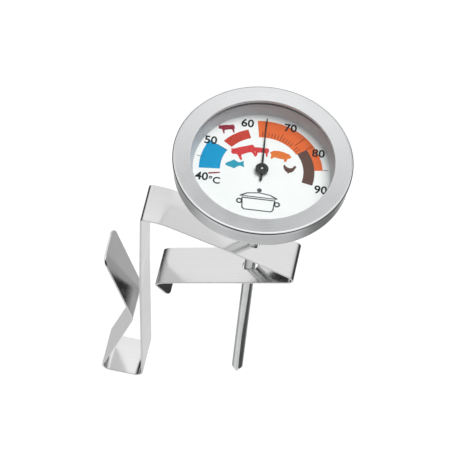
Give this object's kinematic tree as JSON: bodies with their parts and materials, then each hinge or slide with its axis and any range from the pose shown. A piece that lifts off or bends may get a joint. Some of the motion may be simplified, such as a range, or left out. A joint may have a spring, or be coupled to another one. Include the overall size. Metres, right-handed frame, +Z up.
{
  "type": "dial thermometer",
  "caption": "Bimetal dial thermometer with a round steel head, a thin probe and a bent spring-steel clip that slides on the probe and grips a pot's rim.",
  "frame": {"origin": "centre of the clip leg's wall face, at the height where the jaw pinches", "axes": "+Z up along the probe towards the dial, +X from the clip's jaw towards the probe, so the clip's profile lies in X and Z; +Y towards the back of the dial"},
  "size_m": [0.0696, 0.052, 0.1196],
  "materials": {
    "satin_steel": "satin",
    "polished_steel": "polished",
    "spring_steel": "bright rolled",
    "glass": "clear",
    "white_enamel": "satin",
    "black_lacquer": "satin",
    "silicone": "matte",
    "brass": "turned",
    "bimetal": "rolled"
  },
  "bodies": {
    "clip": {"clip_frame": "spring_steel"},
    "release_lever": {"release_lever": "spring_steel"},
    "clamp_jaw": {"clamp_jaw": "spring_steel"},
    "probe": {"bezel": "satin_steel", "case": "satin_steel", "lens_seal": "silicone", "lens": "glass", "spacer_ring": "polished_steel", "dial_plate": "white_enamel", "stem_tube": "polished_steel", "stem_tip": "polished_steel", "stem_collar": "polished_steel", "upper_bush": "brass", "lower_bush": "brass", "coil_anchor": "brass", "bimetal_coil": "bimetal"},
    "pointer": {"pointer": "black_lacquer", "pointer_hub": "black_lacquer", "pointer_shaft": "polished_steel", "coil_clamp": "brass"}
  },
  "joints": [
    {"name": "probe_slide", "type": "slide", "parent": "clip", "child": "probe", "axis": [0, 0, 1], "range_m": [-0.025, 0.05]},
    {"name": "lever_squeeze", "type": "hinge", "parent": "clip", "child": "release_lever", "pos_m": [0.04274, 0, 0.03618], "axis": [0, 1, 0], "range_deg": [0, 12], "stiffness_Nm_per_rad": 0.8},
    {"name": "jaw_open", "type": "hinge", "parent": "clip", "child": "clamp_jaw", "pos_m": [-0.00786, 0, -0.0322], "axis": [0, -1, 0], "range_deg": [0, 8], "stiffness_Nm_per_rad": 1},
    {"name": "pointer_turn", "type": "hinge", "parent": "probe", "child": "pointer", "pos_m": [0.031, 0, 0.0871], "axis": [0, 0, -1], "range_deg": [-102.3, 102.3], "stiffness_Nm_per_rad": 0.0005, "deforming": ["bimetal_coil"]}
  ]
}
